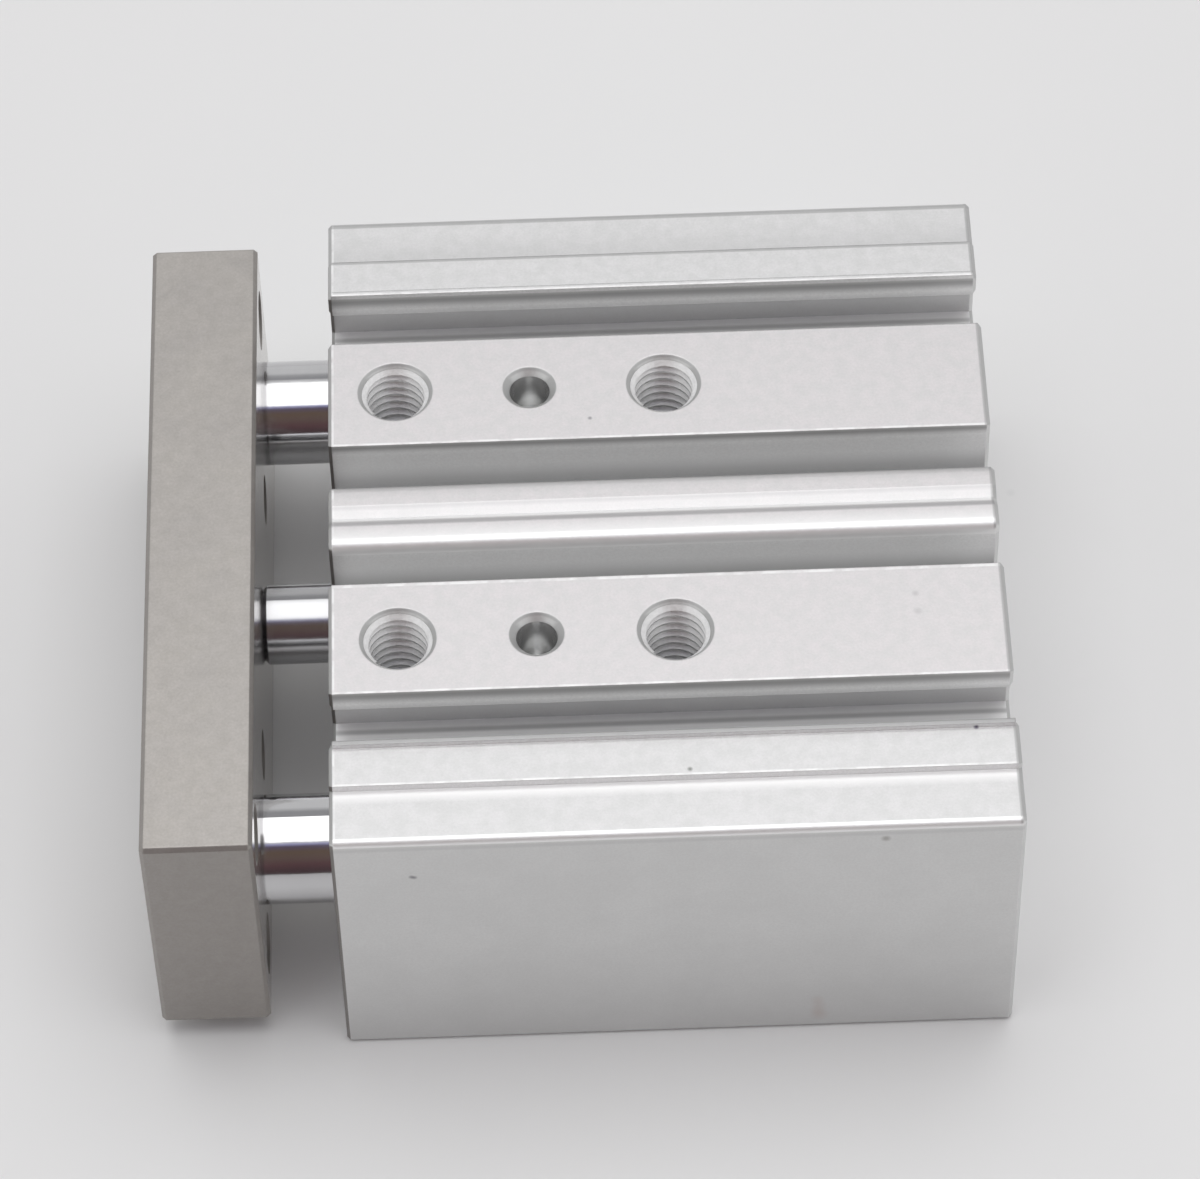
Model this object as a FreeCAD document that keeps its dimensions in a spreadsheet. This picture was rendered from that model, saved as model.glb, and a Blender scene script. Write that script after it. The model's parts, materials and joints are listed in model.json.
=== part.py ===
import FreeCAD, Part
import math
import os
import Sketcher

# Guided pneumatic cylinder, 12 mm bore, with two plain-bearing guide rods.
# It lies on its port face: +Z is up, the rods and the front plate point along -X, and the
# origin is the middle of the object's footprint with the rods drawn in. Millimetres.

SIZES = [
    # travel, gaps and fits
    ("stroke", 20.0, "travel of the rods and the front plate"),
    ("plate_gap", 5.5, "front plate to body with the rods drawn in"),
    ("seat_clearance", 0.02, "radial, between parts that stay put"),
    ("running_clearance", 0.03, "radial, between parts that slide"),
    ("end_clearance", 0.1, "piston to bumper at each end of the travel"),
    # body outline
    ("body_width", 58.0, "across the guide rods"),
    ("body_height", 26.0, "port face to mounting lands"),
    ("axis_height", 13.0, "port face to the rod centres"),
    ("edge_strip_width", 4.6, "lower strip along each outer edge"),
    ("edge_strip_drop", 0.6, "lower strip below the lands"),
    ("top_corner_radius", 0.5, "long outer edges beside the lower strips"),
    ("base_corner_radius", 0.5, "long outer edges of the port face"),
    ("end_chamfer", 0.25, "round both ends of the extrusion"),
    # T slots
    ("slot_pitch", 37.0, "between the centres of the two T slots"),
    ("slot_opening", 4.4, "mouth of a T slot"),
    ("slot_width", 7.4, "widest part of a T slot"),
    ("slot_lip", 1.85, "lip thickness over the wide part"),
    ("slot_depth", 5.6, "lands to the slot floor"),
    ("bead_width", 0.4, "raised bead on the outer lip"),
    ("bead_height", 0.4, "bead above the lands"),
    # sensor grooves and the ridge between them
    ("groove_width", 3.5, "sensor groove"),
    ("groove_depth", 5.7, "lands to the groove floor"),
    ("ridge_width", 5.9, "between the two sensor grooves"),
    ("ridge_drop", 0.1, "ridge top below the lands"),
    ("ridge_radius", 0.8, "long edges of the ridge"),
    ("vee_width", 1.8, "centre line groove in the ridge"),
    ("vee_depth", 0.4, "centre line groove in the ridge"),
    # mounting holes of the body
    ("mount_first", 5.0, "front face to the first pair of mounting holes"),
    ("mount_pitch_x", 20.0, "mounting holes along the body"),
    ("mount_pitch_y", 23.0, "mounting holes across the body"),
    ("mount_thread", 5.0, "thread diameter in the lands"),
    ("mount_thread_depth", 10.0, "thread depth in the lands"),
    ("mount_through", 4.3, "through hole below the thread"),
    ("counterbore_diameter", 8.0, "in the port face"),
    ("counterbore_depth", 4.5, "in the port face"),
    ("dowel_diameter", 3.0, "dowel hole in a land"),
    ("dowel_depth", 6.0, "dowel hole in a land"),
    ("dowel_chamfer", 0.5, "mouth of a dowel hole"),
    ("thread_chamfer", 0.3, "mouth of a tapped hole"),
    ("rear_thread", 4.0, "thread diameter in the rear face"),
    ("rear_thread_depth", 10.0, "thread depth in the rear face"),
    ("rear_pitch_y", 50.0, "rear holes across the body"),
    ("rear_pitch_z", 18.0, "rear holes up the body"),
    # air ports
    ("port_thread", 5.0, "port thread diameter"),
    ("port_depth", 4.5, "port thread depth"),
    ("port_passage", 2.0, "drilling from the port to the bore"),
    ("front_port", 11.0, "front face to the front port"),
    ("rear_port", 7.5, "rear face to the rear port"),
    # cylinder bore and its two covers
    ("bore", 12.0, "cylinder bore"),
    ("cover_step", 0.5, "seat of a cover outside the bore, radial"),
    ("ring_recess", 1.0, "end face to the retaining ring"),
    ("ring_thickness", 0.8, "retaining ring"),
    ("ring_groove_depth", 0.6, "retaining ring's groove in the cover seat"),
    ("ring_lap", 0.8, "retaining ring inside the cover seat, radial"),
    ("ring_gap", 3.2, "opening between the ring's two lugs"),
    ("ring_lug", 2.0, "lug diameter"),
    ("ring_eye", 0.9, "plier hole in a lug"),
    ("rod_cover_length", 7.7, "rod cover"),
    ("head_cover_length", 3.7, "head cover"),
    ("cover_chamfer", 0.4, "outer edges of both covers"),
    ("gasket_section", 1.4, "cord of the covers' gaskets"),
    ("gasket_room", 0.35, "cover's gasket groove wider than the gasket"),
    ("rod_seal_section", 1.6, "rod seal, radial"),
    ("rod_seal_width", 2.6, "rod seal along the rod"),
    ("rod_seal_place", 1.0, "cover's front face to the rod seal"),
    ("bumper_room", 1.25, "bore to a bumper's edge, radial"),
    ("bumper_hole_room", 0.3, "piston rod to the hole in its bumper, radial"),
    ("bumper_thickness", 1.5, "both bumpers"),
    # piston and its rod
    ("piston_length", 10.8, "piston"),
    ("piston_clearance", 0.06, "piston in its bore, radial"),
    ("piston_step", 1.0, "bore to the piston's stepped ends, radial"),
    ("piston_step_length", 1.2, "length of the piston's stepped ends"),
    ("piston_groove_depth", 1.8, "bore to the bottom of the piston's two grooves, radial"),
    ("magnet_place", 2.0, "piston's front face to the magnet"),
    ("magnet_width", 2.8, "magnet along the bore"),
    ("magnet_room", 0.4, "bore to the magnet, radial"),
    ("seal_place", 6.0, "piston's front face to the piston seal"),
    ("seal_width", 2.2, "piston seal along the bore"),
    ("rod", 6.0, "piston rod"),
    ("rod_shoulder", 1.0, "rod to its reduced end inside the piston, radial"),
    ("rod_chamfer", 0.35, "rod end against the front plate"),
    ("tenon_gasket_section", 0.8, "cord of the gasket between rod and piston"),
    # guide rods and bushes
    ("guide_pitch", 41.0, "between the two guide rods"),
    ("guide_rod", 8.0, "guide rod"),
    ("guide_rod_chamfer", 0.5, "free end of a guide rod"),
    ("bush_wall", 1.0, "guide bush"),
    ("bush_length", 12.0, "guide bush"),
    ("bush_recess", 0.5, "end face to a bush"),
    ("bush_chamfer", 0.3, "mouth of a bush"),
    ("guide_room", 0.5, "guide rod to its bore between the two bushes, radial"),
    # front plate
    ("plate_thickness", 8.0, "front plate"),
    ("plate_width", 56.0, "front plate"),
    ("plate_height", 22.0, "front plate"),
    ("plate_chamfer", 0.3, "all edges of the front plate"),
    ("plate_thread", 4.0, "tapped through holes of the front plate"),
    ("plate_pitch_y", 48.0, "tapped holes across the plate"),
    ("plate_pitch_z", 14.0, "tapped holes up the plate"),
    ("plate_pin_hole", 3.2, "two plain holes on the plate's centre line"),
    ("plate_pin_pitch", 24.0, "between the two plain holes"),
    ("guide_seat_depth", 1.5, "how far a guide rod enters the plate"),
    # plate bolts
    ("bolt_sink", 0.4, "bolt head below the plate's face"),
    ("head_room", 0.3, "radial, counterbore round a bolt head"),
    ("shank_room", 0.2, "radial, clearance hole round a shank"),
    ("drill_room", 2.0, "drilled hole past the end of a bolt"),
    ("bolt_chamfer", 0.3, "rim of a bolt head"),
    ("guide_bolt", 4.0, "guide rod bolt"),
    ("guide_bolt_head", 7.0, "guide rod bolt head"),
    ("guide_bolt_length", 10.0, "guide rod bolt under the head"),
    ("guide_bolt_key", 3.0, "guide rod bolt, across the socket's flats"),
    ("rod_bolt", 3.0, "piston rod bolt"),
    ("rod_bolt_head", 5.5, "piston rod bolt head"),
    ("rod_bolt_length", 10.0, "piston rod bolt under the head"),
    ("rod_bolt_key", 2.5, "piston rod bolt, across the socket's flats"),
]

DRILL_POINT = math.tan(math.radians(31.0))  # height of a 118 degree drill point over its radius
HEX_CORNER = 1.0 / math.cos(math.radians(30.0))  # corner radius of a hexagon over half its flats
SOCKET_SHARE = 0.5  # depth of a bolt's socket over its head's height
LIP_SHARE = 1.0 / 3.0  # thickness of a seal's lip over the seal's own
CORD_CORNER = 0.3  # corner of a squeezed cord over its thickness


class Size:
    """A length with its value now and its formula in the names of the sheet."""

    def __init__(self, value, formula):
        self.value = value
        self.formula = formula

    def joined(self, other, sign, value):
        return Size(value, "(%s %s %s)" % (self.formula, sign, as_size(other).formula))

    def __add__(self, other):
        return self.joined(other, "+", self.value + as_size(other).value)

    def __sub__(self, other):
        return self.joined(other, "-", self.value - as_size(other).value)

    def __mul__(self, other):
        return self.joined(other, "*", self.value * as_size(other).value)

    def __truediv__(self, other):
        return self.joined(other, "/", self.value / as_size(other).value)

    def __neg__(self):
        return Size(-self.value, "(-1 * %s)" % self.formula)


class Table:
    """The sheet's sizes by name, such as size.stroke."""


def as_size(number):
    if isinstance(number, Size):
        return number
    return Size(float(number), "%.9g" % number)


def make_sheet(document):
    """Write every driving size into a sheet and return the table of them."""
    sheet = document.addObject("Spreadsheet::Sheet", "Sizes")
    table = Table()
    for row, (name, value, note) in enumerate(SIZES, start=1):
        sheet.set("A%d" % row, name)
        sheet.set("B%d" % row, "%g" % value)
        sheet.setAlias("B%d" % row, name)
        sheet.set("C%d" % row, note)
        setattr(table, name, Size(value, "Sizes.%s" % name))
    document.recompute()
    return table


doc = FreeCAD.newDocument("guided_cylinder")
size = make_sheet(doc)

# Lengths worked out from the driving sizes. Places along X count from the body's front face.
RING_SPACE = size.ring_recess + size.ring_thickness
CHAMBER = size.stroke + size.piston_length + (size.bumper_thickness + size.end_clearance) * 2
BODY_LENGTH = RING_SPACE * 2 + size.rod_cover_length + size.head_cover_length + CHAMBER
ROD_COVER_END = RING_SPACE + size.rod_cover_length
HEAD_COVER_START = ROD_COVER_END + CHAMBER
PISTON_START = HEAD_COVER_START - size.bumper_thickness - size.end_clearance - size.piston_length
PLATE_FRONT = -(size.plate_gap + size.plate_thickness)
FRONT_FACE_X = (size.plate_gap + size.plate_thickness - BODY_LENGTH) / 2
SLOT_CENTRE = size.slot_pitch / 2
GUIDE_CENTRE = size.guide_pitch / 2
COVER_SEAT = size.bore / 2 + size.cover_step
RING_GROOVE = COVER_SEAT + size.ring_groove_depth
GASKET_GROOVE = COVER_SEAT - size.gasket_section
GASKET_GROOVE_WIDTH = size.gasket_section + size.gasket_room
ROD_SEAL_OUTER = size.rod / 2 + size.rod_seal_section
TENON = size.rod / 2 - size.rod_shoulder
TENON_GROOVE_DEPTH = size.tenon_gasket_section + size.seat_clearance
PISTON_GROOVE = size.bore / 2 - size.piston_groove_depth
BUSH_OUTER = size.guide_rod / 2 + size.bush_wall

bodies = []


# ---------------------------------------------------------------- drawing helpers

def bind(item, path, length):
    item.setExpression(path, as_size(length).formula)


def new_body(name, x, y=0, z=size.axis_height):
    """A sub-part whose own origin sits at x behind the body's front face, y and z."""
    body = doc.addObject("PartDesign::Body", name)
    body.Label = name
    bind(body, ".Placement.Base.x", FRONT_FACE_X + x)
    bind(body, ".Placement.Base.y", y)
    bind(body, ".Placement.Base.z", z)
    bodies.append(body)
    return body


def origin_plane(body, role):
    return next(plane for plane in body.Origin.OriginFeatures if plane.Role == role)


def new_sketch(body, name, role, right=0, up=0, forward=0):
    """A sketch on an origin plane, shifted in its own right, up and forward directions."""
    sketch = body.newObject("Sketcher::SketchObject", name)
    sketch.AttachmentSupport = (origin_plane(body, role), "")
    sketch.MapMode = "FlatFace"
    bind(sketch, ".AttachmentOffset.Base.x", right)
    bind(sketch, ".AttachmentOffset.Base.y", up)
    bind(sketch, ".AttachmentOffset.Base.z", forward)
    return sketch


def hold(sketch, kind, length, *where):
    index = sketch.addConstraint(Sketcher.Constraint(kind, *where, as_size(length).value))
    bind(sketch, "Constraints[%d]" % index, length)


def hold_point(sketch, geometry, point, across, up):
    hold(sketch, "DistanceX", across, -1, 1, geometry, point)
    hold(sketch, "DistanceY", up, -1, 1, geometry, point)


def draw_outline(sketch, corners):
    """A closed outline of straight lines through corners given as (across, up)."""
    spots = [FreeCAD.Vector(as_size(a).value, as_size(b).value, 0) for a, b in corners]
    lines = []
    for start, end in zip(spots, spots[1:] + spots[:1]):
        lines.append(sketch.addGeometry(Part.LineSegment(start, end), False))
    for line, following in zip(lines, lines[1:] + lines[:1]):
        sketch.addConstraint(Sketcher.Constraint("Coincident", line, 2, following, 1))
    for line, (across, up) in zip(lines, corners):
        hold_point(sketch, line, 1, across, up)


def draw_circle(sketch, across, up, radius):
    centre = FreeCAD.Vector(as_size(across).value, as_size(up).value, 0)
    circle = Part.Circle(centre, FreeCAD.Vector(0, 0, 1), as_size(radius).value)
    geometry = sketch.addGeometry(circle, False)
    hold_point(sketch, geometry, 3, across, up)
    hold(sketch, "Radius", radius, geometry)


def draw_hexagon(sketch, half_flats):
    corner = half_flats * HEX_CORNER
    corners = []
    for step in range(6):
        angle = math.radians(60 * step)
        corners.append((corner * math.cos(angle), corner * math.sin(angle)))
    draw_outline(sketch, corners)


def pad(body, sketch, length, name):
    feature = body.newObject("PartDesign::Pad", name)
    feature.Profile = sketch
    bind(feature, "Length", length)
    return feature


def cut_along(body, sketch, length, name):
    """A pocket in the sketch's forward direction."""
    feature = body.newObject("PartDesign::Pocket", name)
    feature.Profile = sketch
    feature.Reversed = True
    bind(feature, "Length", length)
    return feature


def turn(body, name, corners, x=0, y=0, z=0, axis="X", cut=False):
    """Revolve an outline of (along, radius) corners about a line through x, y and z."""
    sketch = new_sketch(body, name + "_outline", "XZ_Plane", x, z, -as_size(y))
    if axis == "X":
        draw_outline(sketch, corners)
    else:
        draw_outline(sketch, [(radius, along) for along, radius in corners])
    kind = "PartDesign::Groove" if cut else "PartDesign::Revolution"
    feature = body.newObject(kind, name)
    feature.Profile = sketch
    feature.ReferenceAxis = (sketch, ["H_Axis" if axis == "X" else "V_Axis"])
    feature.Angle = 360
    return feature


def turned_cord(body, name, start, end, inner, outer):
    """A ring of cord about the X axis, squeezed between start and end and between two radii."""
    corner = (outer - inner) * CORD_CORNER
    turn(body, name, [
        (start, inner + corner), (start, outer - corner), (start + corner, outer),
        (end - corner, outer), (end, outer - corner), (end, inner + corner),
        (end - corner, inner), (start + corner, inner),
    ])


def mirror(body, feature, name):
    """Repeat a feature on the other side of the plane Y = 0."""
    mirrored = body.newObject("PartDesign::Mirrored", name)
    mirrored.Originals = [feature]
    mirrored.MirrorPlane = (origin_plane(body, "XZ_Plane"), [""])
    body.Tip = mirrored
    return mirrored


def edge_names(shape, wanted):
    return ["Edge%d" % (i + 1) for i, edge in enumerate(shape.Edges) if wanted(edge)]


def dress(body, kind, length_name, base, names, length, feature_name):
    """A fillet or chamfer on named edges or faces of the base feature."""
    feature = body.newObject(kind, feature_name)
    feature.Base = (base, names)
    bind(feature, length_name, length)
    doc.recompute()
    return feature


def fillet_long_edges(body, base, spots, radius, name):
    """Round the edges along X that run through the (y, z) spots and their mirror images."""
    targets = [(side * as_size(y).value, as_size(z).value) for y, z in spots for side in (1, -1)]

    def wanted(edge):
        ends = [vertex.Point for vertex in edge.Vertexes]
        if len(ends) != 2 or abs(ends[0].x - ends[1].x) < 1.0:
            return False
        return any(all(math.hypot(p.y - y, p.z - z) < 0.01 for p in ends) for y, z in targets)

    names = edge_names(base.Shape, wanted)
    return dress(body, "PartDesign::Fillet", "Radius", base, names, radius, name)


def chamfer_ends(body, base, length, chamfer, name):
    """Chamfer round the flat faces at X = 0 and X = length."""
    names = []
    for i, face in enumerate(base.Shape.Faces):
        box = face.BoundBox
        if box.XLength < 1e-6 and min(abs(box.XMin), abs(box.XMin - length.value)) < 1e-6:
            names.append("Face%d" % (i + 1))
    return dress(body, "PartDesign::Chamfer", "Size", base, names, chamfer, name)


def both(pitch):
    """The two places half a pitch each side of the middle."""
    return (pitch / 2, -(pitch / 2))


def tapped_cut(radius, depth, mouth, drilled=0):
    """(along, radius) corners of a blind tapped hole whose mouth is at 0 and bottom at +depth."""
    end = as_size(depth) + drilled
    return [(0, 0), (0, radius + mouth), (mouth, radius), (end, radius),
            (end + radius * DRILL_POINT, 0)]


def upside_down(corners, top):
    return [(top - along, radius) for along, radius in corners]


# ---------------------------------------------------------------- cylinder body

def body_outline():
    """Right half of the extruded section, from the middle of the base round to the ridge."""
    half_width = size.body_width / 2
    top = size.body_height
    strip_top = top - size.edge_strip_drop
    strip_start = half_width - size.edge_strip_width
    mouth = size.slot_opening / 2
    wide = size.slot_width / 2
    lip = top - size.slot_lip
    slot_floor = top - size.slot_depth
    ridge = size.ridge_width / 2
    groove_floor = top - size.groove_depth
    ridge_top = top - size.ridge_drop
    return [
        (0, 0),
        (half_width, 0),
        (half_width, strip_top),
        (strip_start, strip_top),
        (strip_start, top),
        (SLOT_CENTRE + mouth, top),
        (SLOT_CENTRE + mouth, lip),
        (SLOT_CENTRE + wide, lip),
        (SLOT_CENTRE + wide, slot_floor),
        (SLOT_CENTRE - wide, slot_floor),
        (SLOT_CENTRE - wide, lip),
        (SLOT_CENTRE - mouth, lip),
        (SLOT_CENTRE - mouth, top),
        (ridge + size.groove_width, top),
        (ridge + size.groove_width, groove_floor),
        (ridge, groove_floor),
        (ridge, ridge_top),
        (size.vee_width / 2, ridge_top),
        (0, ridge_top - size.vee_depth),
    ]


def extrude_body(body):
    half_width = size.body_width / 2
    sketch = new_sketch(body, "section", "YZ_Plane")
    draw_outline(sketch, body_outline())
    half = pad(body, sketch, BODY_LENGTH, "half_extrusion")
    doc.recompute()
    whole = mirror(body, half, "extrusion")
    doc.recompute()
    strip_corner = (half_width, size.body_height - size.edge_strip_drop)
    ridge_corner = (size.ridge_width / 2, size.body_height - size.ridge_drop)
    rounded = fillet_long_edges(body, whole, [strip_corner], size.top_corner_radius, "top_corners")
    rounded = fillet_long_edges(body, rounded, [(half_width, 0)], size.base_corner_radius,
                                "base_corners")
    rounded = fillet_long_edges(body, rounded, [ridge_corner], size.ridge_radius, "ridge_corners")
    chamfer_ends(body, rounded, BODY_LENGTH, size.end_chamfer, "end_chamfers")


def add_beads(body):
    """The thin bead along the outer lip of each T slot."""
    lip = SLOT_CENTRE + size.slot_opening / 2
    top = size.body_height
    sketch = new_sketch(body, "bead_section", "YZ_Plane", forward=size.end_chamfer)
    draw_outline(sketch, [(lip, top), (lip + size.bead_width, top),
                          (lip + size.bead_width, top + size.bead_height),
                          (lip, top + size.bead_height)])
    bead = pad(body, sketch, BODY_LENGTH - size.end_chamfer * 2, "bead")
    doc.recompute()
    mirror(body, bead, "beads")


def bore_body(body):
    """The cylinder bore with its cover seats, and the guide bores with their bush seats."""
    bore = size.bore / 2
    seat = COVER_SEAT
    groove = RING_GROOVE
    turn(body, "cylinder_bore", [
        (0, 0), (0, seat), (size.ring_recess, seat), (size.ring_recess, groove),
        (RING_SPACE, groove), (RING_SPACE, seat), (ROD_COVER_END, seat), (ROD_COVER_END, bore),
        (HEAD_COVER_START, bore), (HEAD_COVER_START, seat), (BODY_LENGTH - RING_SPACE, seat),
        (BODY_LENGTH - RING_SPACE, groove), (BODY_LENGTH - size.ring_recess, groove),
        (BODY_LENGTH - size.ring_recess, seat), (BODY_LENGTH, seat), (BODY_LENGTH, 0),
    ], z=size.axis_height, cut=True)
    guide = size.guide_rod / 2 + size.guide_room
    inner_end = size.bush_recess + size.bush_length
    guide_bore = turn(body, "guide_bore_left", [
        (0, 0), (0, BUSH_OUTER), (inner_end, BUSH_OUTER), (inner_end, guide),
        (BODY_LENGTH - inner_end, guide), (BODY_LENGTH - inner_end, BUSH_OUTER),
        (BODY_LENGTH, BUSH_OUTER), (BODY_LENGTH, 0),
    ], y=GUIDE_CENTRE, z=size.axis_height, cut=True)
    doc.recompute()
    mirror(body, guide_bore, "guide_bores")


def drill_mounting_holes(body):
    """Counterbored through holes, tapped from the lands, and the dowel holes between them."""
    top = size.body_height
    tapped = size.mount_thread / 2
    through = size.mount_through / 2
    thread_end = top - size.mount_thread_depth
    counterbore = size.counterbore_diameter / 2
    stack = [
        (0, 0), (0, counterbore), (size.counterbore_depth, counterbore),
        (size.counterbore_depth, through), (thread_end, through), (thread_end, tapped),
        (top - size.thread_chamfer, tapped), (top, tapped + size.thread_chamfer), (top, 0),
    ]
    dowel = tapped_cut(size.dowel_diameter / 2, size.dowel_depth, size.dowel_chamfer)
    middle = size.mount_first + size.mount_pitch_x / 2
    for side, y in enumerate(both(size.mount_pitch_y)):
        for row in range(2):
            x = size.mount_first + size.mount_pitch_x * row
            turn(body, "mounting_hole_%d%d" % (side, row), stack, x, y, axis="Z", cut=True)
        turn(body, "dowel_hole_%d" % side, upside_down(dowel, top), middle, y, axis="Z", cut=True)


def drill_ports(body):
    """The two air ports in the port face and their drillings into the cylinder bore."""
    port = size.port_thread / 2
    passage = size.port_passage / 2
    reach = size.axis_height - size.bore / 2 + passage
    stack = [
        (0, 0), (0, port + size.thread_chamfer), (size.thread_chamfer, port),
        (size.port_depth, port), (size.port_depth + (port - passage) * DRILL_POINT, passage),
        (reach, passage), (reach, 0),
    ]
    turn(body, "front_port", stack, size.front_port, axis="Z", cut=True)
    turn(body, "rear_port", stack, BODY_LENGTH - size.rear_port, axis="Z", cut=True)


def drill_rear_holes(body):
    radius = size.rear_thread / 2
    hole = tapped_cut(radius, size.rear_thread_depth, size.thread_chamfer)
    for side, y in enumerate(both(size.rear_pitch_y)):
        for row, offset in enumerate(both(size.rear_pitch_z)):
            turn(body, "rear_hole_%d%d" % (side, row), upside_down(hole, BODY_LENGTH),
                 y=y, z=size.axis_height + offset, cut=True)


def make_cylinder_body():
    body = new_body("cylinder_body", 0, z=0)
    extrude_body(body)
    add_beads(body)
    bore_body(body)
    drill_mounting_holes(body)
    drill_ports(body)
    drill_rear_holes(body)


# ---------------------------------------------------------------- covers, seals and bumpers

def cover_rim(length, gasket_start):
    """Outer corners of a cover, from its front face to its rear face, with a gasket groove."""
    outer = COVER_SEAT - size.seat_clearance
    chamfer = size.cover_chamfer
    gasket_end = gasket_start + GASKET_GROOVE_WIDTH
    return [
        (0, outer - chamfer), (chamfer, outer), (gasket_start, outer),
        (gasket_start, GASKET_GROOVE), (gasket_end, GASKET_GROOVE), (gasket_end, outer),
        (length - chamfer, outer), (length, outer - chamfer),
    ]


ROD_GASKET_START = size.rod_cover_length - GASKET_GROOVE_WIDTH - size.cover_chamfer * 2
HEAD_GASKET_START = (size.head_cover_length - GASKET_GROOVE_WIDTH) / 2


def make_rod_cover():
    """Front bore cover: it carries the piston rod and holds its seal."""
    hole = size.rod / 2 + size.running_clearance
    seal = ROD_SEAL_OUTER
    seal_end = size.rod_seal_place + size.rod_seal_width
    inside = [
        (size.rod_cover_length, hole), (seal_end, hole), (seal_end, seal),
        (size.rod_seal_place, seal), (size.rod_seal_place, hole), (0, hole),
    ]
    rim = cover_rim(size.rod_cover_length, ROD_GASKET_START)
    turn(new_body("rod_cover", RING_SPACE), "cover", rim + inside)


def make_head_cover():
    """Rear bore cover, a plain disc."""
    rim = cover_rim(size.head_cover_length, HEAD_GASKET_START)
    axis = [(size.head_cover_length, 0), (0, 0)]
    turn(new_body("head_cover", HEAD_COVER_START), "cover", rim + axis)


def make_cover_gasket(name, groove_start):
    start = size.gasket_room / 2
    turned_cord(new_body(name, groove_start), "cord", start, start + size.gasket_section,
                GASKET_GROOVE + size.seat_clearance, COVER_SEAT - size.seat_clearance)


def make_rod_seal():
    """Lip seal with its open side towards the pressure."""
    outer = ROD_SEAL_OUTER - size.seat_clearance
    inner = size.rod / 2 + size.running_clearance
    width = size.rod_seal_width - size.seat_clearance
    middle = (outer + inner) / 2
    wall = (outer - inner) * LIP_SHARE
    body = new_body("rod_seal", RING_SPACE + size.rod_seal_place)
    turn(body, "seal", [
        (0, inner + wall / 2), (0, outer - wall / 2), (width, outer), (width, middle + wall / 2),
        (width / 2, middle), (width, middle - wall / 2), (width, inner),
    ])


def make_retaining_ring(name, start):
    """Internal retaining ring: a split ring with two eyed lugs at the top."""
    outer = RING_GROOVE - size.seat_clearance
    inner = COVER_SEAT - size.ring_lap
    lug = size.ring_lug / 2
    lug_y = size.ring_gap / 2 + lug
    lug_z = inner - lug / 2
    body = new_body(name, start)
    annulus = new_sketch(body, "annulus", "YZ_Plane")
    draw_circle(annulus, 0, 0, outer)
    draw_circle(annulus, 0, 0, inner)
    pad(body, annulus, size.ring_thickness, "ring")
    gap = new_sketch(body, "gap_outline", "YZ_Plane")
    draw_outline(gap, [(-(size.ring_gap / 2), inner / 2), (size.ring_gap / 2, inner / 2),
                       (size.ring_gap / 2, outer * 2), (-(size.ring_gap / 2), outer * 2)])
    cut_along(body, gap, size.ring_thickness, "gap")
    for side, sign in (("left", 1), ("right", -1)):
        disc = new_sketch(body, side + "_lug_outline", "YZ_Plane")
        draw_circle(disc, lug_y * sign, lug_z, lug)
        pad(body, disc, size.ring_thickness, side + "_lug")
        eye = new_sketch(body, side + "_eye_outline", "YZ_Plane")
        draw_circle(eye, lug_y * sign, lug_z, size.ring_eye / 2)
        cut_along(body, eye, size.ring_thickness, side + "_eye")


def make_bumper(name, start, hole):
    outer = size.bore / 2 - size.bumper_room
    thickness = size.bumper_thickness
    turn(new_body(name, start), "bumper",
         [(0, hole), (0, outer), (thickness, outer), (thickness, hole)])


def make_covers():
    make_rod_cover()
    make_rod_seal()
    make_cover_gasket("rod_cover_gasket", RING_SPACE + ROD_GASKET_START)
    make_retaining_ring("rod_cover_retaining_ring", size.ring_recess)
    make_head_cover()
    make_cover_gasket("head_cover_gasket", HEAD_COVER_START + HEAD_GASKET_START)
    make_retaining_ring("head_cover_retaining_ring", BODY_LENGTH - RING_SPACE)
    rod_hole = size.rod / 2 + size.bumper_hole_room
    make_bumper("rod_side_bumper", ROD_COVER_END, rod_hole)
    make_bumper("head_side_bumper", HEAD_COVER_START - size.bumper_thickness, TENON)


# ---------------------------------------------------------------- guide bushes

def make_bush(name, start, y):
    outer = BUSH_OUTER - size.seat_clearance
    inner = size.guide_rod / 2 + size.running_clearance
    length = size.bush_length
    chamfer = size.bush_chamfer
    turn(new_body(name, start, y), "bush", [
        (0, inner), (0, outer - chamfer), (chamfer, outer), (length - chamfer, outer),
        (length, outer - chamfer), (length, inner),
    ])


def make_bushes():
    rear = BODY_LENGTH - size.bush_recess - size.bush_length
    for side, y in (("left", GUIDE_CENTRE), ("right", -GUIDE_CENTRE)):
        make_bush("front_%s_bush" % side, size.bush_recess, y)
        make_bush("rear_%s_bush" % side, rear, y)


# ---------------------------------------------------------------- rods and piston

def make_piston_rod():
    """Rod from the front plate to the piston, with a bolt hole in front and a tenon behind."""
    radius = size.rod / 2
    shoulder = PISTON_START + size.plate_gap
    end = shoulder + size.piston_length
    hole = size.rod_bolt / 2
    web = size.plate_thickness - size.rod_bolt - size.bolt_sink
    hole_end = size.rod_bolt_length - web + size.drill_room
    turn(new_body("piston_rod", -size.plate_gap), "rod", [
        (0, hole), (0, radius - size.rod_chamfer), (size.rod_chamfer, radius), (shoulder, radius),
        (shoulder, TENON), (end, TENON), (end, 0), (hole_end + hole * DRILL_POINT, 0),
        (hole_end, hole),
    ])


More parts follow.
